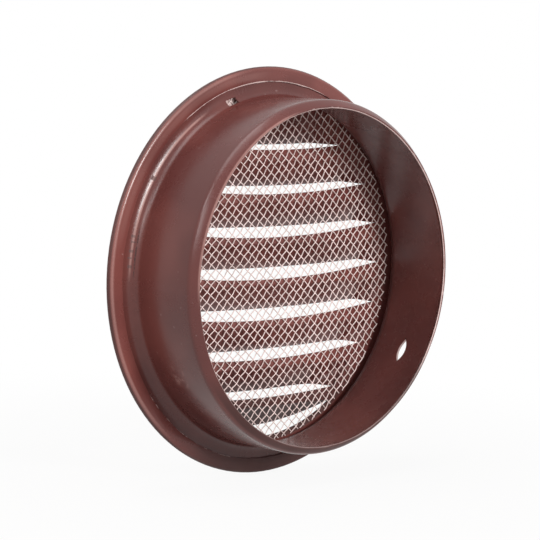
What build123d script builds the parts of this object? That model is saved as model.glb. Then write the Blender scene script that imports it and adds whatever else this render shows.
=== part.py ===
from build123d import *
import os
from math import atan2, cos, radians, sin, sqrt, tan

# A round louvred soffit vent in painted sheet metal, in millimetres.
# It stands upright: Y is the vent's axis, with the duct collar towards +Y,
# X runs along the louvres and Z is up.
# The origin is on the axis, in the plane of the flange's back, which seats on the soffit.

# Sheet and wire
sheet = 0.6
wire = 0.28

# Duct collar
collar_radius = 50.3
collar_depth = 25.1
collar_bend = 2.0
lip_reach = 3.0
lip_length = 2.5
lip_bend = 2.0
collar_rim_play = 0.2

# Fixing slot through the collar's wall
slot_length = 7.2
slot_width = 3.4
slot_height = 12.8
slot_angle = 209.4

# Relief notch in the bend at the collar's base
notch_width = 3.0
notch_reach = 1.9
notch_rise = 1.6
notch_angle = 71.0

# Flange with its hemmed rim
flange_reach = 8.7
hem_reach = 4.3

# Louvres pressed out of the face, closed at both ends
louvre_pitch = 12.07
field_shift = 0.1
field_radius = 47.1
louvre_depth = 7.0
louvre_rise = 7.95
hood_end_slope = 32.0
hood_corner = 2.4
lip_bow_angle = 4.8
lip_rake = 9.0
lance_radius = 300.0

# Lowest louvre, a flap folded out along a chord
flap_fold = 39.9
flap_cut_radius = 48.8
flap_play = 0.1

# Insect mesh, a disc of woven wire that sits a little off centre
mesh_lap = 1.7
mesh_shift = 1.13
mesh_pitch = 9.1
mesh_bar = 1.4
mesh_ridge = 0.6
mesh_border = 2.35
front_wires_angle = 38.8
back_wires_angle = 130.0

# Planes of the layers, from the back of the flange towards the front of the face
hem_front = -sheet
mesh_back = hem_front - sheet
mesh_front = mesh_back - 2 * wire
face_back = mesh_front
face_front = face_back - sheet

# Rolled rim
flange_radius = collar_radius + flange_reach
rim_radius = -face_front / 2
rim_bore = rim_radius - sheet
rim_centre = flange_radius - rim_radius
hem_edge = flange_radius - hem_reach

# Louvre blades
louvre_slope = louvre_depth / louvre_rise
louvre_lean = atan2(louvre_depth, louvre_rise)

# Louvre rows: as many whole hoods above and below the middle one as the field holds
rows_above = int((field_radius - louvre_rise - field_shift) / louvre_pitch)
rows_below = int((field_radius - louvre_rise + field_shift) / louvre_pitch)
hood_count = rows_above + 1 + rows_below
hood_lips = [field_shift + louvre_pitch * (rows_above - row) for row in range(hood_count)]


def layer(y, turn=0):
    """The plane across the vent's axis at y, seen from the front, with its x axis turned up by an angle."""
    return Plane(origin=(0, y, 0), x_dir=(cos(radians(turn)), 0, sin(radians(turn))), z_dir=(0, -1, 0))


def radial(y, angle):
    """The plane at y that faces outwards at an angle round the vent's axis."""
    out = (cos(radians(angle)), 0, sin(radians(angle)))
    along = (-sin(radians(angle)), 0, cos(radians(angle)))
    return Plane(origin=(0, y, 0), x_dir=along, z_dir=out)


def half_width(lip):
    """Half the width of the louvre field at a lip's height."""
    return sqrt(field_radius**2 - lip**2)


def louvre_form(lip, wall, back):
    """The solid under one louvre's hood, from the plane y = back to the lip.

    A wall of 0 gives the outside of the hood, and the sheet's thickness gives its inside.
    """
    top = lip + louvre_rise - wall / sin(louvre_lean)
    low = lip - louvre_depth
    tip = face_front - louvre_slope * (top - low)
    behind = back - face_front
    base_radius = field_radius - wall / cos(radians(hood_end_slope)) + behind * tan(radians(hood_end_slope))
    with BuildPart() as form:
        with BuildSketch(layer(back)):
            Circle(base_radius)
        extrude(amount=behind + 2 * louvre_depth, taper=hood_end_slope)
        with BuildSketch(Plane.YZ):
            with BuildLine():
                Polyline((back, top + behind / louvre_slope), (tip, low), (back, low), close=True)
            make_face()
        extrude(amount=flange_radius, both=True, mode=Mode.INTERSECT)
        outwards = Axis((0, 0, 0), (0, -louvre_rise, louvre_depth))
        blade = form.faces().filter_by(GeomType.PLANE).sort_by(outwards)[-1]
        fillet(blade.edges().filter_by(GeomType.LINE, reverse=True), hood_corner - wall)

        # The lip is bowed, with its ends higher than its middle, and is cut on a rake
        lip_radius = half_width(lip) / sin(radians(lip_bow_angle))
        with BuildSketch(layer(face_front - 2 * louvre_depth)):
            with Locations((0, lip + louvre_depth * tan(radians(lip_rake)) + lip_radius)):
                Circle(lip_radius)
        rake_direction = (0, cos(radians(lip_rake)), -sin(radians(lip_rake)))
        extrude(amount=3 * louvre_depth, dir=rake_direction, mode=Mode.INTERSECT)
    return form.part


# Face plate: a disc with its rim rolled back and hemmed, and the louvres pressed out of it
with BuildPart() as face_plate:
    with BuildSketch(Plane.XY):
        with BuildLine():
            Line((0, face_front), (rim_centre, face_front))
            ThreePointArc((rim_centre, face_front), (flange_radius, -rim_radius), (rim_centre, 0))
            Polyline((rim_centre, 0), (hem_edge, 0), (hem_edge, hem_front), (rim_centre, hem_front))
            ThreePointArc((rim_centre, hem_front), (rim_centre + rim_bore, -rim_radius), (rim_centre, face_back))
            Polyline((rim_centre, face_back), (0, face_back), (0, face_front))
        make_face()
    revolve(axis=Axis.Y)

    # Hoods, open downwards
    for lip in hood_lips:
        add(louvre_form(lip, 0, face_front + sheet / 2))
    for lip in hood_lips:
        add(louvre_form(lip, sheet, face_back + sheet), mode=Mode.SUBTRACT)

    # Below each lip the sheet was lanced along a shallow arc from tip to tip
    for lip in hood_lips:
        half_chord = half_width(lip)
        bow = half_chord * tan(radians(lip_bow_angle / 2))
        ends = lip + bow - louvre_depth * tan(radians(lip_rake))
        sag = lance_radius - sqrt(lance_radius**2 - half_chord**2)
        with BuildSketch(layer(face_back)):
            with BuildLine():
                Line((-half_chord, ends), (half_chord, ends))
                ThreePointArc((half_chord, ends), (0, ends - sag), (-half_chord, ends))
            make_face()
        extrude(amount=sheet, mode=Mode.SUBTRACT)

    # The lowest flap: its crescent is cut free along the rim and folded out along the chord
    with BuildSketch(layer(face_back)):
        Circle(flap_cut_radius)
        with Locations((0, -flap_fold)):
            Rectangle(2 * flange_radius, flange_radius, align=(Align.CENTER, Align.MAX), mode=Mode.INTERSECT)
    extrude(amount=sheet, mode=Mode.SUBTRACT)
    flap_plane = Plane(
        origin=(0, face_back, -flap_fold),
        x_dir=(1, 0, 0),
        z_dir=(0, -cos(louvre_lean), sin(louvre_lean)),
    )
    with BuildSketch(flap_plane):
        with Locations((0, flap_fold)):
            Circle(flap_cut_radius - flap_play)
        Rectangle(2 * flange_radius, flange_radius, align=(Align.CENTER, Align.MAX), mode=Mode.INTERSECT)
    extrude(amount=sheet)

# Collar: a drawn ring with a flange that the hem holds, and its free end turned in
collar_flange_radius = rim_centre - collar_rim_play
with BuildPart() as collar:
    with BuildSketch(Plane.XY):
        with BuildLine():
            outside = FilletPolyline(
                (collar_flange_radius, hem_front),
                (collar_radius, hem_front),
                (collar_radius, collar_depth - lip_length),
                (collar_radius - lip_reach, collar_depth),
                radius=(collar_bend, lip_bend),
            )
            offset(outside, amount=sheet, side=Side.LEFT)
        make_face()
    revolve(axis=Axis.Y)

    # Fixing slot, a lens with its length round the wall
    with BuildSketch(radial(slot_height, slot_angle)):
        with BuildLine():
            ThreePointArc((-slot_length / 2, 0), (0, slot_width / 2), (slot_length / 2, 0))
            ThreePointArc((slot_length / 2, 0), (0, -slot_width / 2), (-slot_length / 2, 0))
        make_face()
    extrude(amount=flange_radius, mode=Mode.SUBTRACT)

    # Relief notch through the bend
    with BuildSketch(radial(mesh_back, notch_angle)):
        Rectangle(notch_width, 2 * (sheet + notch_rise))
    extrude(amount=collar_radius + notch_reach, mode=Mode.SUBTRACT)

# Insect mesh: a thin wall of crossing bars, with ridges one way in front and the other way behind
wall_back = mesh_back - wire / 2
mesh_radius = collar_radius + mesh_lap
bar_count = 2 * int((mesh_radius + mesh_shift) / mesh_pitch) + 1
bar_length = 3 * mesh_radius
families = ((front_wires_angle, bar_count + 1), (back_wires_angle, bar_count))
with BuildPart() as insect_mesh:
    with BuildSketch(layer(wall_back)):
        with Locations((mesh_shift, mesh_shift)):
            Circle(mesh_radius)
            Circle(mesh_radius - mesh_border, mode=Mode.SUBTRACT)
    extrude(amount=wire)
    for (turn, count), ridge_start in zip(families, (wall_back - wire, mesh_back)):
        with BuildSketch(layer(wall_back, turn)):
            with GridLocations(0, mesh_pitch, 1, count):
                Rectangle(bar_length, mesh_bar)
        extrude(amount=wire)
        with BuildSketch(layer(ridge_start, turn)):
            with GridLocations(0, mesh_pitch, 1, count):
                Rectangle(bar_length, mesh_ridge)
        extrude(amount=wire / 2)
    with BuildSketch(layer(mesh_back)):
        with Locations((mesh_shift, mesh_shift)):
            Circle(mesh_radius)
    extrude(amount=2 * wire, mode=Mode.INTERSECT)

face_plate.part.label = "face_plate"
collar.part.label = "collar"
insect_mesh.part.label = "insect_mesh"

os.makedirs("parts", exist_ok=True)
export_step(face_plate.part, "parts/face_plate.step")
export_step(collar.part, "parts/collar.step")
export_step(insect_mesh.part, "parts/insect_mesh.step")
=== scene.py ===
# %% [markdown]
# # A round soffit vent, looked at from behind
#
# The vent is three pieces of metal: a louvred face plate, a duct collar that the plate's hem
# holds, and a disc of woven insect mesh between the two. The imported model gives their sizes.
# This lesson dresses them: it rounds the bends, weaves the real wires, paints the sheet and
# lights it as in a small studio.

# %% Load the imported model
import random
from math import atan2, copysign, cos, pi, radians, sin, tan
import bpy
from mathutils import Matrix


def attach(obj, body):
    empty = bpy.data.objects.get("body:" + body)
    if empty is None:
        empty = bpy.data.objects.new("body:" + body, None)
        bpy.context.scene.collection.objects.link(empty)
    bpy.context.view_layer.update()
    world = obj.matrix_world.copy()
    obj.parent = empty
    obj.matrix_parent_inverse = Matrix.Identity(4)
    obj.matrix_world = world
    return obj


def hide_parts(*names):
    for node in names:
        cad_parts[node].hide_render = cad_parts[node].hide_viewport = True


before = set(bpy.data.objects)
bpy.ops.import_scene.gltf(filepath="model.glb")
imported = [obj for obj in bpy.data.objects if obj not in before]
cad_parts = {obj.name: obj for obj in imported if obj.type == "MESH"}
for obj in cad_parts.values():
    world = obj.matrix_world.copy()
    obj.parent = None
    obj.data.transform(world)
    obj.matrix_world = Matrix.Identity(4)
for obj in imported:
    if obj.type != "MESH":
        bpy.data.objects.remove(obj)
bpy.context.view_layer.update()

from types import SimpleNamespace

import bmesh
import bpy
from mathutils import Matrix, Vector

MM = 0.001
print("nodes:", sorted(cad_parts))

# %% [markdown]
# ## Sizes
#
# These sizes, in millimetres, serve more than one step, and the others are written where they
# are first needed. The vent's axis is Y, with the collar towards +Y, and Z is up. They could
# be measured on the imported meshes, but a plain number is easier to read and to try out.
#
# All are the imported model's own but for five, because a last look at the photograph gave them:
# the collar's free end is 0.4 mm nearer the flange and turns in by 2 mm, not 3, its foot bends
# round 3.2 mm, not 2, the slot is narrower by 0.8 mm, and the notch is wider by as much.

# %% Name the sizes that several steps share
SHEET = 0.6
COLLAR_RADIUS = 50.3
COLLAR_DEPTH = 24.7
LIP_REACH = 2.0
LIP_LENGTH = 2.5
HEM_FRONT = -0.6
HEM_EDGE = 54.7
print("collar:", 2 * COLLAR_RADIUS, "mm across and", COLLAR_DEPTH, "mm deep")

# %% [markdown]
# ## Helpers
#
# A finished piece is an object at the origin with its place in its mesh, because a pattern on
# Object coordinates slides when the object itself is moved. These helpers make such an object
# from a bmesh, shade it smooth up to a given angle, count its triangles, and apply its
# modifiers, so that what follows can go on from the result.


# %% Make the helpers for finished pieces
def linked(name, data):
    """Put an object for a mesh, a curve, a lamp or a camera into the scene."""
    made = bpy.data.objects.new(name, data)
    bpy.context.collection.objects.link(made)
    return made


def triangles(mesh):
    """How many triangles a mesh's faces come to."""
    return sum(len(face.vertices) - 2 for face in mesh.polygons)


def shade(mesh, smooth_angle):
    """Shade a mesh smooth across edges flatter than an angle."""
    mesh.shade_smooth()
    mesh.set_sharp_from_angle(angle=radians(smooth_angle))


def finished(bm, name, smooth_angle=35):
    """Make an object of a bmesh."""
    mesh = bpy.data.meshes.new(name)
    bm.to_mesh(mesh)
    bm.free()
    shade(mesh, smooth_angle)
    print(name, "has", triangles(mesh), "triangles")
    return linked(name, mesh)


def apply_modifiers(piece):
    """Keep what a piece's modifiers make as its own mesh."""
    seen = piece.evaluated_get(bpy.context.evaluated_depsgraph_get())
    mesh = bpy.data.meshes.new_from_object(seen)
    piece.modifiers.clear()
    piece.data = mesh


# %% [markdown]
# ## The duct collar
#
# The real collar is one strip of sheet, drawn to a ring. Its foot is bent outwards to a flange
# and its free end is turned in. It could be a tube whose end rings are scaled, but then no
# number would be the radius of a bend. So it starts as its section, a line through four
# points, and a vertex bevel rounds two of them. The bevel's offset is how far from the corner
# the round begins: the bend's radius divided by the tangent of half the corner's angle.

# %% Draw the collar's section
COLLAR_FLANGE_RADIUS = 57.62
FOOT_BEND = 3.2
LIP_BEND = 2.0
BEND_STEPS = 8


def rounded_line(section, bends):
    """An open line through (radius, y) points, with bends of given radii at some of them."""
    bm = bmesh.new()
    corners = [bm.verts.new(Vector((radius, y, 0)) * MM) for radius, y in section]
    for start, end in zip(corners, corners[1:]):
        bm.edges.new((start, end))
    rounds = []
    for index, bend in bends.items():
        before = (corners[index - 1].co - corners[index].co).normalized()
        after = (corners[index + 1].co - corners[index].co).normalized()
        rounds.append((corners[index].co.copy(), bend * MM / tan(before.angle(after) / 2)))
    for place, offset in rounds:
        corner = min(bm.verts, key=lambda vert: (vert.co - place).length)
        bmesh.ops.bevel(
            bm, geom=[corner], offset=offset, offset_type="OFFSET", affect="VERTICES",
            segments=BEND_STEPS, profile=0.5, material=-1,
        )
    return bm


collar_section = [
    (COLLAR_FLANGE_RADIUS, HEM_FRONT),
    (COLLAR_RADIUS, HEM_FRONT),
    (COLLAR_RADIUS, COLLAR_DEPTH - LIP_LENGTH),
    (COLLAR_RADIUS - LIP_REACH, COLLAR_DEPTH),
]
collar_bm = rounded_line(collar_section, {2: LIP_BEND, 1: FOOT_BEND})
print("collar section:", len(collar_bm.verts), "points")

# %% [markdown]
# One turn about the axis makes the wall. A Screw modifier could do it too, but the spin
# operator leaves a plain mesh to work on. Long runs of the line are divided first, so that the
# wall's faces aren't long strips, and use_merge closes the seam of the full turn.

# %% Turn the section round the axis
TURN_STEPS = 320
WALL_STEP = 1.6


def turned(bm):
    """Divide a line's long runs and spin it once about the vent's axis."""
    for edge in [edge for edge in bm.edges if edge.calc_length() > 2 * WALL_STEP * MM]:
        cuts = int(edge.calc_length() / (WALL_STEP * MM))
        bmesh.ops.subdivide_edges(bm, edges=[edge], cuts=cuts)
    bmesh.ops.spin(
        bm, geom=bm.verts[:] + bm.edges[:], cent=(0, 0, 0), axis=(0, 1, 0), angle=2 * pi,
        steps=TURN_STEPS, use_merge=True,
    )
    bmesh.ops.remove_doubles(bm, verts=bm.verts, dist=0.0001 * MM)
    bmesh.ops.recalc_face_normals(bm, faces=bm.faces)


turned(collar_bm)
print("collar wall:", len(collar_bm.faces), "faces before its thickness")

# %% [markdown]
# The wall has no thickness yet, so its normals could point either way. They are turned to the
# outside, and Solidify then adds the sheet on the inside. A second line drawn inside the first
# would do as well, but one surface keeps the sheet even round the bends, as bending does.


# %% Give the collar its sheet
def from_axis(place):
    """The part of a place that leads straight away from the vent's axis."""
    return Vector((place.x, 0, place.z))


def face_outwards(bm):
    """Turn a wall's normals outwards, judged by a face that runs along the axis."""
    wall = next(face for face in bm.faces if abs(face.normal.y) < 0.1)
    if wall.normal.dot(from_axis(wall.calc_center_median())) < 0:
        bmesh.ops.reverse_faces(bm, faces=bm.faces)


face_outwards(collar_bm)
collar = finished(collar_bm, "duct_collar")
sheet_metal = collar.modifiers.new("sheet", "SOLIDIFY")
sheet_metal.thickness = SHEET * MM
sheet_metal.offset = -1
sheet_metal.use_even_offset = True

# %% [markdown]
# ## The slot and the notch
#
# A screw through the slot holds the vent in its duct. The slot was pierced with a blade, which
# leaves a lens with a short tear at each end, so its cutter is a circle pinched to two points.
# The notch is where the strip's bend was relieved, and a block is enough for it. Each cutter
# is made in a frame of its own, with X round the wall and Z outwards.

# %% Make the cutters
SLOT_LENGTH, SLOT_WIDTH, SLOT_TEAR = 7.2, 2.6, 0.4
SLOT_POINTS = 40
NOTCH_WIDTH, NOTCH_HEIGHT, NOTCH_OUTER = 3.8, 4.4, 52.2
SLOT_CUTTER_START, SLOT_CUTTER_LENGTH = 44, 12
NOTCH_CUTTER_LENGTH = 8


def slot_cutter():
    """A lens with a torn point at each end, pushed outwards through the wall."""
    half_length, half_width = SLOT_LENGTH / 2 * MM, SLOT_WIDTH / 2 * MM
    bm = bmesh.new()
    bmesh.ops.create_circle(bm, cap_ends=True, segments=SLOT_POINTS, radius=1)
    for vert in bm.verts:
        vert.co.y = copysign(1 - vert.co.x**2, vert.co.y)
    bmesh.ops.scale(bm, verts=bm.verts, vec=(half_length, half_width, 1))
    for vert in bm.verts:
        if abs(vert.co.x) > 0.999 * half_length:
            vert.co.x += copysign(SLOT_TEAR * MM, vert.co.x)
    pushed = bmesh.ops.extrude_face_region(bm, geom=bm.faces[:])["geom"]
    outer = [made for made in pushed if isinstance(made, bmesh.types.BMVert)]
    bmesh.ops.translate(bm, verts=outer, vec=(0, 0, SLOT_CUTTER_LENGTH * MM))
    bmesh.ops.translate(bm, verts=bm.verts, vec=(0, 0, SLOT_CUTTER_START * MM))
    return bm


def notch_cutter():
    """A block from inside the collar to the notch's outer end."""
    size = (NOTCH_WIDTH * MM, NOTCH_HEIGHT * MM, NOTCH_CUTTER_LENGTH * MM)
    middle = (0, NOTCH_HEIGHT / 2 * MM, (NOTCH_OUTER - NOTCH_CUTTER_LENGTH / 2) * MM)
    bm = bmesh.new()
    bmesh.ops.create_cube(bm, size=1)
    bmesh.ops.scale(bm, verts=bm.verts, vec=size)
    bmesh.ops.translate(bm, verts=bm.verts, vec=middle)
    return bm


print("slot:", SLOT_LENGTH, "x", SLOT_WIDTH, "mm, notch:", NOTCH_WIDTH, "mm wide")

# %% [markdown]
# Moving the wall's own vertices to such outlines would spoil its even rings. A Boolean takes
# the cutter's space out of the finished sheet instead, and leaves its cut thickness in view.

# %% Cut the slot and the notch
SLOT_Y, SLOT_ANGLE = 12.8, 209.4
NOTCH_TOP, NOTCH_ANGLE = 1.0, 71.0


def radial_frame(y, angle):
    """A frame at y on the axis with its Z outwards at an angle and its X round the wall."""
    c, s = cos(radians(angle)), sin(radians(angle))
    return Matrix((
        (-s, 0, c, 0),
        (0, -1, 0, y * MM),
        (c, 0, s, 0),
        (0, 0, 0, 1),
    ))


def cut(piece, cutter_bm, matrix):
    """Take a cutter's space out of a piece."""
    bmesh.ops.transform(cutter_bm, matrix=matrix, verts=cutter_bm.verts)
    bmesh.ops.recalc_face_normals(cutter_bm, faces=cutter_bm.faces)
    cutter = finished(cutter_bm, "cutter")
    tool = piece.modifiers.new("cut", "BOOLEAN")
    tool.object = cutter
    tool.solver = "EXACT"
    apply_modifiers(piece)
    bpy.data.objects.remove(cutter)


cut(collar, slot_cutter(), radial_frame(SLOT_Y, SLOT_ANGLE))
cut(collar, notch_cutter(), radial_frame(NOTCH_TOP, NOTCH_ANGLE))
print("collar after its cuts:", len(collar.data.polygons), "faces")

# %% [markdown]
# ## The face plate
#
# The face plate is a disc whose louvres were pressed out of it. They could be modelled anew,
# but their shape is right in the model, so the plate starts as a copy of it. The copy's
# triangles are loose, so they are merged first, and flat fields are dissolved to whole faces.

# %% Copy the plate
plate_bm = bmesh.new()
plate_bm.from_mesh(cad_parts["face_plate"].data)
bmesh.ops.remove_doubles(plate_bm, verts=plate_bm.verts, dist=0.001 * MM)
bmesh.ops.dissolve_limit(
    plate_bm, angle_limit=radians(0.4), verts=plate_bm.verts, edges=plate_bm.edges,
    use_dissolve_boundaries=False,
)
print("face plate:", len(plate_bm.faces), "faces after merging")

# %% [markdown]
# Sheet bends softly where a louvre leaves the plate. A Bevel modifier can't tell those roots
# from a cut edge. They all lie in the plate's front or back plane, so they are picked by that
# and rounded with a bevel, wider at the back, where the bend goes round the outside.

# %% Round the louvres' roots
FACE_FRONT = -2.36
FACE_BACK = FACE_FRONT + SHEET
LOUVRES_WITHIN = 53
ROOT_FRONT, ROOT_BACK = 0.32, 0.62
ROOT_LEAST, ROOT_MOST = radians(35), radians(82)
ROOT_STEPS = 3
FLAT_WITHIN = 0.003


def root_edges(bm, y):
    """Edges in the plane at y where the flat field turns into a louvre."""
    chosen = []
    for edge in bm.edges:
        start, end = (vert.co for vert in edge.verts)
        in_plane = all(abs(place.y - y * MM) < FLAT_WITHIN * MM for place in (start, end))
        if not in_plane or from_axis((start + end) / 2).length > LOUVRES_WITHIN * MM:
            continue
        if len(edge.link_faces) == 2 and ROOT_LEAST < edge.calc_face_angle() < ROOT_MOST:
            chosen.append(edge)
    return chosen


for y, width in ((FACE_FRONT, ROOT_FRONT), (FACE_BACK, ROOT_BACK)):
    roots = root_edges(plate_bm, y)
    print("root edges at y", round(y, 2), "mm:", len(roots))
    bmesh.ops.bevel(
        plate_bm, geom=roots, offset=width * MM, offset_type="OFFSET", affect="EDGES",
        segments=ROOT_STEPS, profile=0.5, material=-1, clamp_overlap=True,
    )

# %% [markdown]
# The hem was folded over by a machine, and its raw edge wanders by a tenth of a millimetre
# or two round the vent. Noise could move it, but it would need a match where the ring closes.
# A few sines of the angle, each with a whole number of waves, close by themselves.

# %% Let the hem's raw edge wander
# Waves round the rim, where they start in radians, and their height in millimetres
HEM_WAVES = ((7, 1, 0.05), (17, 0, 0.05), (41, 2, 0.05), (67, 0, 0.04))
CLOSE = 0.05

for vert in plate_bm.verts:
    out = from_axis(vert.co)
    on_edge = abs(out.length - HEM_EDGE * MM) < CLOSE * MM
    if on_edge and vert.co.y > (HEM_FRONT - CLOSE) * MM:
        turn = atan2(vert.co.z, vert.co.x)
        wander = sum(height * sin(waves * turn + start) for waves, start, height in HEM_WAVES)
        vert.co += out.normalized() * wander * MM

plate = finished(plate_bm, "louvred_plate", smooth_angle=28)

# %% [markdown]
# Cut edges of painted sheet are never quite sharp. Each could be bevelled by hand, but a narrow
# Bevel modifier finds all that are still sharp by their angle, and gives each a fine line that
# catches the light.

# %% Soften the cut edges
for piece, width in ((collar, 0.12), (plate, 0.1)):
    soft = piece.modifiers.new("soft edges", "BEVEL")
    soft.width = width * MM
    soft.segments = 2
    soft.limit_method = "ANGLE"
    soft.angle_limit = radians(40)
    soft.use_clamp_overlap = True
    apply_modifiers(piece)
    shade(piece.data, 32)
    print(piece.name, "has", triangles(piece.data), "triangles when finished")

# %% [markdown]
# ## The insect mesh
#
# The model has a thin wall with square gaps. The real mesh is woven: two families of wires,
# one nearly straight, the other bent over and under it. A see-through picture of a mesh would
# be lighter, but it has no thickness and no crossings. So each wire is one spline of a curve
# object with a round bevel, which is the short way to a wire.
#
# The cloth was pulled while it was cut, so both families are bowed a little: a wire leaves its
# line by half its bow times the square of the way along it.

# %% Describe the two families of wires
STRAIGHT = {"turn": 38.2, "spacing": 2.27, "bow": -0.0013, "radius": 0.145}
CRIMPED = {"turn": 130.3, "spacing": 1.97, "bow": -0.0023, "radius": 0.162}
MESH_RADIUS = 52.0
MESH_SHIFT = 1.13
POINTS_PER_CROSSING = 4
# How far a wire may be shifted, leant or swung from its row, and the ragged cut of its ends
SHIFT, LEAN, SWING, SWING_LENGTH = 0.07, 0.1, 0.06, 9
CUT_LEAST, CUT_MOST = 0.2, 0.45
draw = random.Random(7)


def directions(family):
    """Along a family's wires, and across them."""
    turn = radians(family["turn"])
    return Vector((cos(turn), 0, sin(turn))), Vector((-sin(turn), 0, cos(turn)))


def row_at(family, place):
    """How many of a family's spacings lie between its middle wire and a place."""
    along, across = directions(family)
    return (place.dot(across) - family["bow"] * place.dot(along)**2 / 2) / family["spacing"]


def wire_places(own, other, row):
    """Points along one wire of a family, as far as the disc reaches."""
    along, across = directions(own)
    step = other["spacing"] / POINTS_PER_CROSSING
    reach = int(MESH_RADIUS / step)
    offset = row * own["spacing"] + draw.uniform(-SHIFT, SHIFT)
    lean = draw.uniform(-LEAN, LEAN)
    phase = draw.uniform(0, 2 * pi)
    swing = draw.uniform(0, SWING)
    limit = MESH_RADIUS - draw.uniform(CUT_LEAST, CUT_MOST)
    places = []
    for index in range(-reach, reach + 1):
        s = index * step
        bow = own["bow"] * s**2 / 2
        drift = offset + bow + lean * s / MESH_RADIUS + swing * sin(s / SWING_LENGTH + phase)
        places.append(along * s + across * drift)
    return [place for place in places if place.length < limit]


print("wires:", 2 * STRAIGHT["radius"], "and", 2 * CRIMPED["radius"], "mm thick")

# %% [markdown]
# A crimped wire goes over one wire of the other family and under the next, which is a cosine
# of how many spacings lie between. The small seeded shifts in each wire keep the rows from
# looking printed.

# %% Weave the wires
WIRE = 0.28
MESH_BACK = -1.2
STRAIGHT_WAVE, CRIMPED_WAVE = -0.05, 0.19


def weave(name, own, other, wave):
    """A curve object of all wires of one family, clipped to the mesh's disc."""
    curve = bpy.data.curves.new(name, "CURVE")
    curve.dimensions = "3D"
    curve.bevel_depth = own["radius"] * MM
    curve.bevel_resolution = 1
    curve.use_fill_caps = True
    rows = int(MESH_RADIUS / own["spacing"]) + 1
    for row in range(-rows, rows + 1):
        places = wire_places(own, other, row)
        if len(places) < 2 * POINTS_PER_CROSSING:
            continue
        spline = curve.splines.new("POLY")
        spline.points.add(len(places) - 1)
        for control, place in zip(spline.points, places):
            y = MESH_BACK - WIRE + wave * cos(pi * (row_at(other, place) + row))
            x, z = MESH_SHIFT + place.x, MESH_SHIFT + place.z
            control.co = (x * MM, y * MM, z * MM, 1)
        spline.use_smooth = True
    count = sum(len(spline.points) for spline in curve.splines)
    print(name, "has", len(curve.splines), "wires and about", count * 12, "triangles")
    return linked(name, curve)


wires = [
    weave("mesh_wires_straight", STRAIGHT, CRIMPED, STRAIGHT_WAVE),
    weave("mesh_wires_crimped", CRIMPED, STRAIGHT, CRIMPED_WAVE),
]

# %% [markdown]
# ## Shader nodes
#
# Every finish below is made of nodes, so that it has detail at any distance and needs no
# picture. Long chains of nodes are hard to read as code, so a few short helpers stand for the
# steps that come again and again. The first ones are for numbers: a sum, a product, the
# largest of some masks, and a smooth step from one range to another.


# %% Make the helpers for numbers
def maths(tree, operation, first, second=None):
    """A Math node with numbers or other nodes' outputs as its values."""
    made = tree.nodes.new("ShaderNodeMath")
    made.operation = operation
    for index, value in enumerate((first, second)):
        if isinstance(value, (int, float)):
            made.inputs[index].default_value = value
        elif value is not None:
            tree.links.new(value, made.inputs[index])
    return made.outputs[0]


def chained(tree, operation, values):
    """One Math operation from value to value."""
    result = values[0]
    for value in values[1:]:
        result = maths(tree, operation, result, value)
    return result


def plus(tree, *values):
    """The sum of values."""
    return chained(tree, "ADD", values)


def times(tree, *values):
    """The product of values."""
    return chained(tree, "MULTIPLY", values)


def largest(tree, *values):
    """The largest of values, which puts masks together."""
    return chained(tree, "MAXIMUM", values)


def ranged(tree, value, low, high, to_low=0.0, to_high=1.0):
    """Map a value smoothly from one range to another."""
    made = tree.nodes.new("ShaderNodeMapRange")
    made.interpolation_type = "SMOOTHSTEP"
    names = ("From Min", "From Max", "To Min", "To Max")
    for name, number in zip(names, (low, high, to_low, to_high)):
        made.inputs[name].default_value = number
    tree.links.new(value, made.inputs["Value"])
    return made.outputs[0]


print("number helpers: plus, times, largest and ranged")

# %% [markdown]
# The next ones are for patterns and colours: noise, a blend of two colours, and a new material
# with its tree and its shader at hand.


# %% Make the helpers for patterns and colours
def noise(tree, place, scale, detail, roughness=0.55):
    """Noise with so many patches a metre."""
    made = tree.nodes.new("ShaderNodeTexNoise")
    made.inputs["Scale"].default_value = scale
    made.inputs["Detail"].default_value = detail
    made.inputs["Roughness"].default_value = roughness
    tree.links.new(place, made.inputs["Vector"])
    return made.outputs["Fac"]


def mixed(tree, factor, first, second):
    """Blend two colours by a factor; each may be a colour or another node's output."""
    made = tree.nodes.new("ShaderNodeMix")
    made.data_type = "RGBA"
    tree.links.new(factor, made.inputs[0])
    for index, value in ((6, first), (7, second)):
        if isinstance(value, tuple):
            made.inputs[index].default_value = value
        else:
            tree.links.new(value, made.inputs[index])
    return made.outputs[2]


def new_material(name):
    """A material with nodes, its tree, and its Principled shader."""
    material = bpy.data.materials.new(name)
    material.use_nodes = True
    return material, material.node_tree, material.node_tree.nodes["Principled BSDF"]


print("pattern helpers: noise and mixed")

# %% [markdown]
# ## Painted sheet
#
# The sheet has a satin chocolate-brown coat. Up close it isn't one colour: it is cloudy over
# a few centimetres, has a fine grain, and shows bare metal where an edge was cut or handled.
# The nodes could stand twice, once for each painted piece. One node group for both is shorter,
# and a change to it reaches both. It reads Object coordinates, so its sizes are real metres.

# %% Build the group for a painted sheet
# How many patches of each pattern there are in a metre
CLOUD, SMEAR, CHIP, PEEL, SPECK, GRAIN = 32, 95, 260, 420, 700, 1500


def group_with(name, inputs, outputs):
    """A node group with named sockets, and its input and output nodes."""
    group = bpy.data.node_groups.new(name, "ShaderNodeTree")
    for side, sockets in (("INPUT", inputs), ("OUTPUT", outputs)):
        for socket_name, kind in sockets.items():
            group.interface.new_socket(
                name=socket_name, socket_type="NodeSocket" + kind, in_out=side,
            )
    return group, group.nodes.new("NodeGroupInput"), group.nodes.new("NodeGroupOutput")


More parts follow.
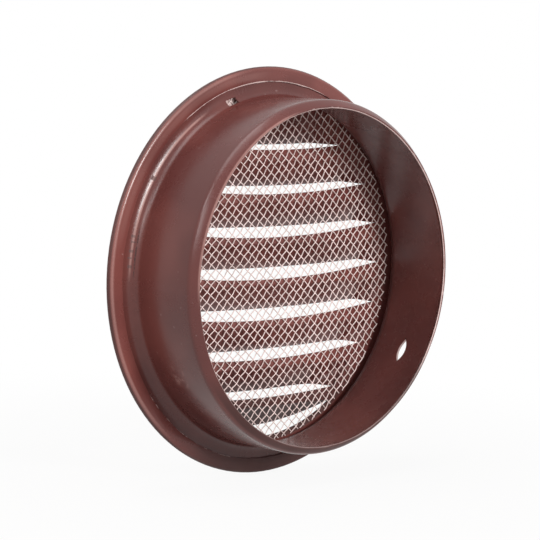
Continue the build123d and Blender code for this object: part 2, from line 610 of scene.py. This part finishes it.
def painted_sheet_group():
    """Paint with clouds, streaks, specks, chips and painted highlights, and its roughness and
    relief.

    Noise lies mostly between 0.3 and 0.7, so a range within that picks its patches out, and
    one near its top leaves only specks.
    """
    group, given, made = group_with(
        "painted sheet",
        inputs={
            "Place": "Vector", "Paint": "Color", "Deep paint": "Color", "Worn and highlight": "Color",
            "Wear and highlight": "Float",
        },
        outputs={"Colour": "Color", "Roughness": "Float", "Height": "Float"},
    )
    place, wear_and_highlight = given.outputs["Place"], given.outputs["Wear and highlight"]
    paint, deep, bare = (given.outputs[name] for name in ("Paint", "Deep paint", "Worn and highlight"))
    cloud = ranged(group, noise(group, place, CLOUD, 2), 0.38, 0.62)
    smear = ranged(group, noise(group, place, SMEAR, 4, 0.6), 0.35, 0.7)
    speck = ranged(group, noise(group, place, SPECK, 1), 0.76, 0.8)
    chip = noise(group, place, CHIP, 5, 0.7)
    peel = noise(group, place, PEEL, 2)
    grain = noise(group, place, GRAIN, 2)

    coat = mixed(group, cloud, deep, paint)
    streaked = mixed(group, times(group, smear, 0.35), coat, deep)
    specked = mixed(group, times(group, speck, 0.16), streaked, bare)
    # The mask that comes in also carries painted highlights, which come out in the bare colour
    # here
    chipped = mixed(group, ranged(group, plus(group, chip, wear_and_highlight), 0.98, 1.12), specked, bare)
    rough = plus(group, times(group, smear, 0.1), times(group, grain, 0.08), 0.17)
    skin = plus(group, times(group, grain, 0.25), times(group, peel, 0.75))
    height = plus(group, skin, times(group, cloud, 2.0))
    for name, value in (("Colour", chipped), ("Roughness", rough), ("Height", height)):
        group.links.new(value, made.inputs[name])
    return group


PAINT_GROUP = painted_sheet_group()
print("painted sheet group:", len(PAINT_GROUP.nodes), "nodes")

# %% [markdown]
# The bare, rubbed and dirty places belong to the shape: to the cut edges, the bends and the
# corners. The same masks also paint highlights, sheen and shade onto some bends and edges. They
# could be brushed on by hand, but that needs unwrapped pieces and pictures. Here a mask is
# worked out from where a place lies on the vent: its distance from the axis, its y and z, and
# how far it lies toward an angle, counted from +X through +Z.


# %% Measure where a place lies
def place_on_vent(tree):
    """A place's coordinates, their parts, and its distance from the axis, in metres."""
    coords = tree.nodes.new("ShaderNodeTexCoord").outputs["Object"]
    split = tree.nodes.new("ShaderNodeSeparateXYZ")
    tree.links.new(coords, split.inputs[0])
    x, y, z = split.outputs
    flat = tree.nodes.new("ShaderNodeCombineXYZ")
    tree.links.new(x, flat.inputs[0])
    tree.links.new(z, flat.inputs[2])
    length = tree.nodes.new("ShaderNodeVectorMath")
    length.operation = "LENGTH"
    tree.links.new(flat.outputs[0], length.inputs[0])
    return SimpleNamespace(coords=coords, x=x, y=y, z=z, radius=length.outputs["Value"])


def toward(tree, at, angle):
    """How far a place lies out from the axis toward an angle, in metres."""
    c, s = cos(radians(angle)), sin(radians(angle))
    return plus(tree, times(tree, at.x, c), times(tree, at.z, s))


def aside(tree, at, angle):
    """How far a place lies to the side of an angle, round the wall, in metres."""
    return toward(tree, at, angle + 90)


print("a place is known by x, y, z and radius")

# %% [markdown]
# A mask is 1 where an effect is whole, 0 where there is none, and smooth between, because a
# hard step would look cut out. Places are in metres, and the masks' own numbers are in
# millimetres, as all sizes here are.


# %% Make masks from places
def falls(tree, value, start, end, amount=1.0, rest=0.0):
    """A mask that falls from an amount to a rest between two values."""
    return ranged(tree, value, start * MM, end * MM, amount, rest)


def rises(tree, value, start, end, amount=1.0):
    """A mask that rises from 0 to an amount between two values."""
    return ranged(tree, value, start * MM, end * MM, 0.0, amount)


def near(tree, value, centre, full, gone, amount=1.0):
    """A mask round a centre, whole within one distance of it and gone by another."""
    away = maths(tree, "ABSOLUTE", maths(tree, "SUBTRACT", value, centre * MM))
    return falls(tree, away, full, gone, amount)


def arc(tree, at, radius, angle, half):
    """A mask along a circle's arc about an angle, gone past half its width in degrees."""
    gone, full = radius * cos(radians(half)), radius * cos(radians(0.75 * half))
    return rises(tree, toward(tree, at, angle), gone, full)


print("masks: falls, rises, near and arc")

# %% [markdown]
# Each painted piece has a material of its own, because it is worn in other places. What they
# share is written once, as a function that is given the piece's colours and three masks: how
# bare, how rubbed and how dirty a place is, with painted highlights, painted sheen and painted
# shade counted in too. Rubbed paint and painted sheen are paler, dirt and painted shade are
# darker and duller.

# %% Say what a painted piece is made of
# Bare metal and painted highlights share one pale colour, rubbed paint and painted sheen a paler
# brown, and dirt and painted shade a near-black
BARE_AND_HIGHLIGHT = (0.52, 0.385, 0.365, 1)
RUBBED_AND_SHEEN = (0.46, 0.27, 0.24, 1)
DIRT_AND_SHADE = (0.02, 0.008, 0.007, 1)
DIRT_AND_SHADE_DULLS = 0.5


def painted(name, paint, deep, wear_and_highlight_at, rub_and_sheen_at, dirt_and_shade_at):
    """A painted-sheet material with a piece's own colours and masks."""
    material, tree, shader = new_material(name)
    at = place_on_vent(tree)
    coat = tree.nodes.new("ShaderNodeGroup")
    coat.node_tree = PAINT_GROUP
    for socket_name, colour in (("Paint", paint), ("Deep paint", deep), ("Worn and highlight", BARE_AND_HIGHLIGHT)):
        coat.inputs[socket_name].default_value = colour
    tree.links.new(at.coords, coat.inputs["Place"])
    tree.links.new(wear_and_highlight_at(tree, at), coat.inputs["Wear and highlight"])
    # Paler where rubbed and where sheen is painted in
    rubbed_and_sheen = mixed(tree, rub_and_sheen_at(tree, at), coat.outputs["Colour"], RUBBED_AND_SHEEN)
    # Darker and rougher where dirty and where shade is painted in
    dirt_and_shade = dirt_and_shade_at(tree, at)
    tree.links.new(mixed(tree, dirt_and_shade, rubbed_and_sheen, DIRT_AND_SHADE), shader.inputs["Base Color"])
    rough = plus(tree, coat.outputs["Roughness"], times(tree, dirt_and_shade, DIRT_AND_SHADE_DULLS))
    tree.links.new(rough, shader.inputs["Roughness"])
    bump = tree.nodes.new("ShaderNodeBump")
    bump.inputs["Strength"].default_value = 0.35
    bump.inputs["Distance"].default_value = 0.06 * MM
    tree.links.new(coat.outputs["Height"], bump.inputs["Height"])
    tree.links.new(bump.outputs["Normal"], shader.inputs["Normal"])
    shader.inputs["Specular IOR Level"].default_value = 0.36
    print(name, "has", len(tree.nodes), "nodes")
    return material


# %% [markdown]
# ## The collar's paint
#
# The collar is bare along the cut end of its lip, most on the inner edge, and round the cut of
# the slot. Its lip has a painted sheen and the bend at its foot a painted highlight, both on one
# side, and there is a real scuff low on the wall. The slot's mask is the same lens that cut it,
# a little wider, so that it also covers the cut.

# %% Say where the collar is bare and rubbed, and where light is painted on it
LIP_LINE = 48.5
# The radius in the foot's bend where a highlight is painted in
FOOT_LINE = 52.0
SCUFF_ANGLE, SCUFF_Y = 328, 11


def from_lip_end(tree, at):
    """How far down the turned-in lip a place lies from its cut end, in metres."""
    way = Vector((-LIP_REACH, LIP_LENGTH)).normalized()
    lip = plus(tree, times(tree, at.radius, way.x), times(tree, at.y, way.y))
    end = (way.x * (COLLAR_RADIUS - LIP_REACH) + way.y * COLLAR_DEPTH) * MM
    return maths(tree, "SUBTRACT", end, lip)


def collar_wear(tree, at):
    """Bare at the cut end of the lip and round the cut of the slot."""
    cut_middle = COLLAR_RADIUS - LIP_REACH - 0.35
    cut_end = falls(tree, from_lip_end(tree, at), 0.03, 0.1, amount=0.78)
    inner_part = falls(tree, at.radius, cut_middle, cut_middle + 0.18, rest=0.5)
    cut_end = times(tree, cut_end, inner_part)
    run = maths(tree, "DIVIDE", aside(tree, at, SLOT_ANGLE), SLOT_LENGTH / 2 * MM)
    rise = maths(tree, "ABSOLUTE", maths(tree, "SUBTRACT", at.y, SLOT_Y * MM))
    rise = maths(tree, "DIVIDE", rise, SLOT_WIDTH / 2 * MM)
    lens = ranged(tree, plus(tree, times(tree, run, run), rise), 1.03, 1.12, 0.7, 0.0)
    slot_side = rises(tree, toward(tree, at, SLOT_ANGLE), 30, 40)
    return largest(tree, cut_end, times(tree, lens, slot_side))


def collar_rub_and_sheen(tree, at):
    """Painted sheen on the lip, a painted highlight along the bend at the foot, and a broken
    scuff.
    """
    # Painted sheen on the turned-in lip, on one side
    lip = falls(tree, from_lip_end(tree, at), 0.3, 0.7, amount=0.36)
    lip = times(tree, lip, arc(tree, at, LIP_LINE, angle=34, half=42))
    # A painted highlight along the bend at the foot
    foot = near(tree, at.radius, FOOT_LINE + 0.05, full=0.08, gone=0.42, amount=0.5)
    foot = times(
        tree, foot, arc(tree, at, FOOT_LINE, angle=30, half=32), falls(tree, at.y, 1.0, 1.6),
    )
    scuff = times(
        tree,
        near(tree, aside(tree, at, SCUFF_ANGLE), 0.0, full=1.0, gone=4.5, amount=0.36),
        near(tree, at.y, SCUFF_Y, full=0.8, gone=3.4),
        ranged(tree, noise(tree, at.coords, 520, 3), 0.5, 0.62),
        rises(tree, toward(tree, at, SCUFF_ANGLE), 40, 45),
    )
    return largest(tree, lip, foot, scuff)


# The lip's and the foot's rubbed marks here are painted sheen and a painted highlight
print("bare: lip end, slot; rubbed: lip, foot, scuff")

# %% [markdown]
# Shade is painted in where the mesh meets the wall inside and on the underside of the lip. Dirt
# lies along a seam and in small lumps in the bend at the foot. Each lump is a spot at an angle
# and a radius, and beads of noise break up the seam.

# %% Say where the collar is dirty and where shade is painted, and make its paint
# Lumps in the bend: angle, radius, and half the length round it
LUMPS = (
    (31.5, 52.1, 0.75), (12.6, 52.3, 0.4), (10.9, 52.0, 0.25),
    (8.1, 52.2, 0.45), (6.0, 52.4, 0.25), (3.4, 52.2, 0.5),
)
SEAM_LINE = 51.2
LUMP_HALF_WIDTH = 0.5


def lump_at(tree, at, angle, radius, half):
    """A small spot at an angle and a radius, given half its length round the bend."""
    out, side = toward(tree, at, angle), aside(tree, at, angle)
    gone = 1.3 * LUMP_HALF_WIDTH
    across = near(tree, out, radius, full=LUMP_HALF_WIDTH, gone=gone, amount=0.5)
    return times(tree, across, near(tree, side, 0.0, full=0.7 * half, gone=half))


def collar_dirt_and_shade(tree, at):
    """Painted shade in the inner corner and under the lip, and dirt along a beaded seam and in
    lumps.
    """
    low = falls(tree, at.y, 1.0, 1.6)
    # Painted shade in the inner corner, where the mesh meets the wall
    inside = falls(tree, at.radius, COLLAR_RADIUS - 0.35, COLLAR_RADIUS - 0.15)
    corner = times(tree, inside, falls(tree, at.y, 0.3, 2.8, amount=0.75))
    seam = times(
        tree,
        near(tree, at.radius, SEAM_LINE - 0.05, full=0.08, gone=0.22),
        arc(tree, at, SEAM_LINE, angle=8, half=8.5),
        ranged(tree, noise(tree, at.coords, 1500, 1), 0.42, 0.55, 0.2, 0.7),
        low,
    )
    # Painted shade on the underside of the lip, low on the vent
    under = falls(tree, from_lip_end(tree, at), 1.6, 2.9, amount=0.66)
    under = times(tree, under, arc(tree, at, LIP_LINE, angle=268, half=62))
    lumps = [times(tree, lump_at(tree, at, *lump), low) for lump in LUMPS]
    return largest(tree, corner, seam, under, *lumps)


COLLAR_BROWN, COLLAR_DEEP_BROWN = (0.132, 0.039, 0.033, 1), (0.09, 0.025, 0.022, 1)
collar_paint = painted(
    "collar paint", COLLAR_BROWN, COLLAR_DEEP_BROWN, collar_wear, collar_rub_and_sheen, collar_dirt_and_shade,
)

# %% [markdown]
# ## The face plate's paint
#
# The hem's raw edge is bare along two arcs, and its pale line there is also a painted highlight.
# The crown of the rim is bare in chips low on one side, with a painted highlight along them, and
# under the notch a bare spot on the plate's back also lifts the notch's shadow with painted
# light. A painted highlight runs along the crown and a little painted sheen lies on the hem's
# flat. The rim is darker towards its foot and on its outermost edge, and the lowest louvres are
# darker, all painted shade. Most masks also end at a y, so that the front keeps its plain coat
# but for that edge and the lowest louvres.

# %% Say where the face plate is bare and where light and shade are painted, and make its paint
# Where the hem's raw edge is bare and painted with a highlight: an angle, half the arc's width,
# and how much
HEM_BARE_AND_HIGHLIGHT = ((82, 36, 1.0), (304, 26, 0.76))
CROWN = 58.1
HEM_FLAT = 56.6
NOTCH_SPOT = 50.7


def plate_wear_and_highlight(tree, at):
    """Bare with a painted highlight along the hem's raw edge and low on the crown, and a pale
    spot under the notch.
    """
    arcs = [
        times(tree, arc(tree, at, HEM_EDGE, angle, half), much) for angle, half, much in HEM_BARE_AND_HIGHLIGHT
    ]
    # A painted highlight along the hem's raw edge, where it is also bare
    hem = near(tree, at.radius, HEM_EDGE, full=0.12, gone=0.36, amount=0.66)
    hem = times(tree, hem, largest(tree, *arcs))
    # Bare chips on the crown of the rim, with a painted highlight along them
    crown = near(tree, at.radius, CROWN, full=0.1, gone=0.6, amount=0.36)
    crown = times(tree, crown, arc(tree, at, CROWN, angle=330, half=45))
    rim = times(tree, largest(tree, hem, crown), rises(tree, at.y, -1.0, -0.4))
    # A pale spot under the notch: bare metal, and painted light where the notch's shadow falls
    spot = times(
        tree,
        near(tree, aside(tree, at, NOTCH_ANGLE), 0.5, full=1.5, gone=2.4, amount=0.85),
        near(tree, toward(tree, at, NOTCH_ANGLE), NOTCH_SPOT, full=1.4, gone=2.2),
        falls(tree, at.y, -1.3, -1.1),
        rises(tree, at.y, -2.0, -1.85),
    )
    return largest(tree, rim, spot)


def plate_painted_sheen(tree, at):
    """A painted highlight along the crown of the rim and a little painted sheen on the hem's
    flat.
    """
    # A painted highlight along the crown of the rim
    crown = near(tree, at.radius, CROWN + 0.05, full=0.12, gone=0.7, amount=0.24)
    crown = times(tree, crown, arc(tree, at, CROWN, angle=14, half=70))
    # A little painted sheen on the hem's flat
    flat = near(tree, at.radius, HEM_FLAT, full=0.4, gone=1.4, amount=0.1)
    flat = times(tree, flat, arc(tree, at, HEM_FLAT, angle=48, half=42))
    return times(tree, largest(tree, crown, flat), rises(tree, at.y, -1.0, -0.4))


def plate_painted_shade(tree, at):
    """Painted shade low on the rim, on its outermost edge and on the lowest louvres."""
    # Painted shade, darker towards the bottom of the rim
    foot = falls(tree, at.z, -59.0, -45.0, amount=0.78)
    foot = times(tree, foot, rises(tree, at.y, -2.0, -1.0))
    # Painted shade on the rim's outermost edge, dimming its grazing reflection
    edge = rises(tree, at.radius, 58.55, 58.85, amount=0.6)
    edge = times(tree, edge, falls(tree, at.y, -0.35, -0.1))
    # Painted shade on the lowest louvres
    louvre_shade = falls(tree, at.z, -42.0, -28.0, amount=0.7)
    louvre_shade = times(tree, louvre_shade, falls(tree, at.radius, 50.0, 51.0))
    return largest(tree, foot, edge, louvre_shade)


FACE_BROWN, FACE_DEEP_BROWN = (0.165, 0.05, 0.043, 1), (0.115, 0.033, 0.029, 1)
face_paint = painted(
    "face paint", FACE_BROWN, FACE_DEEP_BROWN, plate_wear_and_highlight, plate_painted_sheen, plate_painted_shade,
)

# %% [markdown]
# ## Bright wire
#
# The wire is drawn and zinc-coated. As a full metal it would mirror the white studio and hardly
# show against it. But zinc soon dulls, so little of its look is a mirror's: it is a plain light
# grey, duller in places, with a rosy tint that is a painted reflection of the brown paint round
# it.

# %% Make the bright wire
# Both greys carry a rosy tint, a painted reflection of the brown paint round the wires
CLEAN_ZINC_AND_REFLECTION, DULL_ZINC_AND_REFLECTION = (0.86, 0.7, 0.67, 1), (0.7, 0.56, 0.53, 1)
DULL_PATCHES, DRAWN_MARKS = 120, 2400


def wire_material():
    """Light zinc, clean in some places and dull in others, with a rosy painted reflection."""
    material, tree, shader = new_material("bright wire")
    coords = tree.nodes.new("ShaderNodeTexCoord").outputs["Object"]
    dull = ranged(tree, noise(tree, coords, DULL_PATCHES, 3), 0.4, 0.65)
    drawn = noise(tree, coords, DRAWN_MARKS, 2)
    tree.links.new(mixed(tree, dull, CLEAN_ZINC_AND_REFLECTION, DULL_ZINC_AND_REFLECTION), shader.inputs["Base Color"])
    rough = plus(tree, times(tree, drawn, 0.15), times(tree, dull, 0.12), 0.27)
    tree.links.new(rough, shader.inputs["Roughness"])
    shader.inputs["Metallic"].default_value = 0.08
    shader.inputs["Specular IOR Level"].default_value = 0.3
    return material


bright_wire = wire_material()
print("bright wire has", len(bright_wire.node_tree.nodes), "nodes")

# %% [markdown]
# ## Dressing the model
#
# Each new piece gets its material, rides on the model's only body, and stands for the imported
# node that it was made after. The imported nodes are hidden behind the new pieces, but they get
# the same materials, so that they match if shown.

# %% Dress the pieces
for pieces, material, node_name, slot_name in (
    ([collar], collar_paint, "collar", "collar_paint"),
    ([plate], face_paint, "face_plate", "face_paint"),
    (wires, bright_wire, "insect_mesh", "mesh_wire"),
):
    for piece in pieces:
        piece.data.materials.clear()
        piece.data.materials.append(material)
        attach(piece, "root")
        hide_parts(node_name)
        print(piece.name, "stands for", node_name)
    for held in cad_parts[node_name].material_slots:
        held.material = material

# %% [markdown]
# ## Floor and background
#
# The vent stands on a plain pale floor. A product photograph's white ground is no brighter
# than the paper it is printed on, so it must not come from more light. The floor looks white
# only to the camera and to reflections, by Light Path. Near the vent a part of it stays a
# plain diffuse surface, so that it keeps the vent's shadow, and further out it is all white.

# %% Make the floor
FLOOR_Z = -59.1
FLOOR_SIZE = 2.0
SHADOW_NEAR, SHADOW_FAR = 0.07, 0.24
WHITE_SHARE = 0.93
PALE_GREY, WHITE = (0.5, 0.48, 0.47, 1), (1, 1, 1, 1)


def seen_directly(tree):
    """1 for rays from the camera, and for those that a reflection or glass sends on."""
    path = tree.nodes.new("ShaderNodeLightPath")
    names = ("Is Camera Ray", "Is Glossy Ray", "Is Transmission Ray")
    return largest(tree, *(path.outputs[name] for name in names))


def floor_material():
    """A pale matt surface, blended with plain white by distance from the vent."""
    material, tree, matt = new_material("pale floor")
    matt.inputs["Base Color"].default_value = PALE_GREY
    matt.inputs["Roughness"].default_value = 0.9
    matt.inputs["Specular IOR Level"].default_value = 0.0
    white = tree.nodes.new("ShaderNodeEmission")
    white.inputs["Color"].default_value = WHITE
    distance = tree.nodes.new("ShaderNodeVectorMath")
    distance.operation = "LENGTH"
    coords = tree.nodes.new("ShaderNodeTexCoord").outputs["Object"]
    tree.links.new(coords, distance.inputs[0])
    share = ranged(tree, distance.outputs["Value"], SHADOW_NEAR, SHADOW_FAR, WHITE_SHARE, 1.0)
    blend = tree.nodes.new("ShaderNodeMixShader")
    tree.links.new(times(tree, share, seen_directly(tree)), blend.inputs[0])
    tree.links.new(matt.outputs[0], blend.inputs[1])
    tree.links.new(white.outputs[0], blend.inputs[2])
    tree.links.new(blend.outputs[0], tree.nodes["Material Output"].inputs["Surface"])
    return material


floor_bm = bmesh.new()
bmesh.ops.create_grid(floor_bm, x_segments=24, y_segments=24, size=FLOOR_SIZE)
bmesh.ops.translate(floor_bm, verts=floor_bm.verts, vec=(0, 0, FLOOR_Z * MM))
ground = finished(floor_bm, "floor")
ground.data.materials.append(floor_material())

# %% [markdown]
# The world is white to the camera in the same way, and weaker as a light. Its soft light from
# all sides could come from many lamps, but a world needs only one number.

# %% Make the world
SKY_LIGHT = 0.42

world = bpy.data.worlds.new("studio")
bpy.context.scene.world = world
world.use_nodes = True
background = world.node_tree.nodes["Background"]
background.inputs["Color"].default_value = WHITE
sky = world.node_tree
strength = ranged(sky, seen_directly(sky), 0.0, 1.0, SKY_LIGHT, 1.0)
sky.links.new(strength, background.inputs["Strength"])
print("sky light:", SKY_LIGHT)

# %% [markdown]
# ## Camera
#
# A camera can be placed by eye, but its lens and distance are then hard to tell apart. This
# one was fitted to the outlines of the flange and of the collar's end in the photograph. Its
# angles, distance and lens are used as found, with a small roll, because the photograph's
# camera wasn't level.

# %% Set the camera as in the photograph
AZIMUTH, ELEVATION, ROLL = 136.905, 5.116, 1.877
DISTANCE = 627.744
AIM_RIGHT, AIM_UP, AIM_Y = 1.407, 0.117, -1.85
LENS = 144.2

a, e, r = radians(AZIMUTH), radians(ELEVATION), radians(ROLL)
level_right = Vector((cos(a), sin(a), 0))
back = Vector((sin(a) * cos(e), -cos(a) * cos(e), sin(e)))
level_up = back.cross(level_right)
right = cos(r) * level_right + sin(r) * level_up
up = -sin(r) * level_right + cos(r) * level_up
camera = linked("camera", bpy.data.cameras.new("camera"))
turn = Matrix((right, up, back)).transposed().to_4x4()
aim = right * AIM_RIGHT + up * AIM_UP + Vector((0, AIM_Y, 0))
camera.matrix_world = Matrix.Translation((back * DISTANCE + aim) * MM) @ turn
camera.data.lens = LENS
camera.data.sensor_width = 36
camera.data.clip_start = 0.05
bpy.context.scene.camera = camera
print("camera at", [round(c, 4) for c in camera.location])

# %% [markdown]
# ## Light
#
# The bright lines on the rim's crown and in the bend at the collar's foot say where the main
# light stood: to the right of the camera and as high as it, almost on the vent's own axis. It
# is small, so the lines are sharp, and it lights the hem and the mesh's wires. One from the
# left puts the line on the turned-in lip, a weak one over the collar's edge lights the far
# inner wall, and a wide one from above lights the collar's outside. Area lights are used, as
# softboxes are in a studio, because a point lamp's shadows have hard edges.


# %% Place the soft lights
def softbox(name, to_right, to_up, to_back, size, power):
    """A square area light placed by the camera's directions and turned to the vent."""
    lamp = bpy.data.lights.new(name, "AREA")
    lamp.shape = "SQUARE"
    lamp.size = size
    lamp.energy = power
    place = right * to_right + up * to_up + back * to_back
    light = linked(name, lamp)
    aimed = place.to_track_quat("Z", "Y").to_matrix().to_4x4()
    light.matrix_world = Matrix.Translation(place) @ aimed
    print(name, "lamp:", size, "m wide and", power, "W")


softbox("key", 0.83, 0.27, 0.83, 0.3, 13)
softbox("side", -0.75, 0.85, 0.75, 0.32, 2.6)
softbox("inside", -0.5, 0.5, 1.1, 0.5, 4)
softbox("top", -0.2, 1.1, 0.25, 0.8, 8.0)

# %% [markdown]
# ## The view
#
# Other view transforms soften bright colours as film does. Standard shows them as they are
# written, which suits a white ground.

# %% Keep the plain view
view = bpy.context.scene.view_settings
view.view_transform = "Standard"
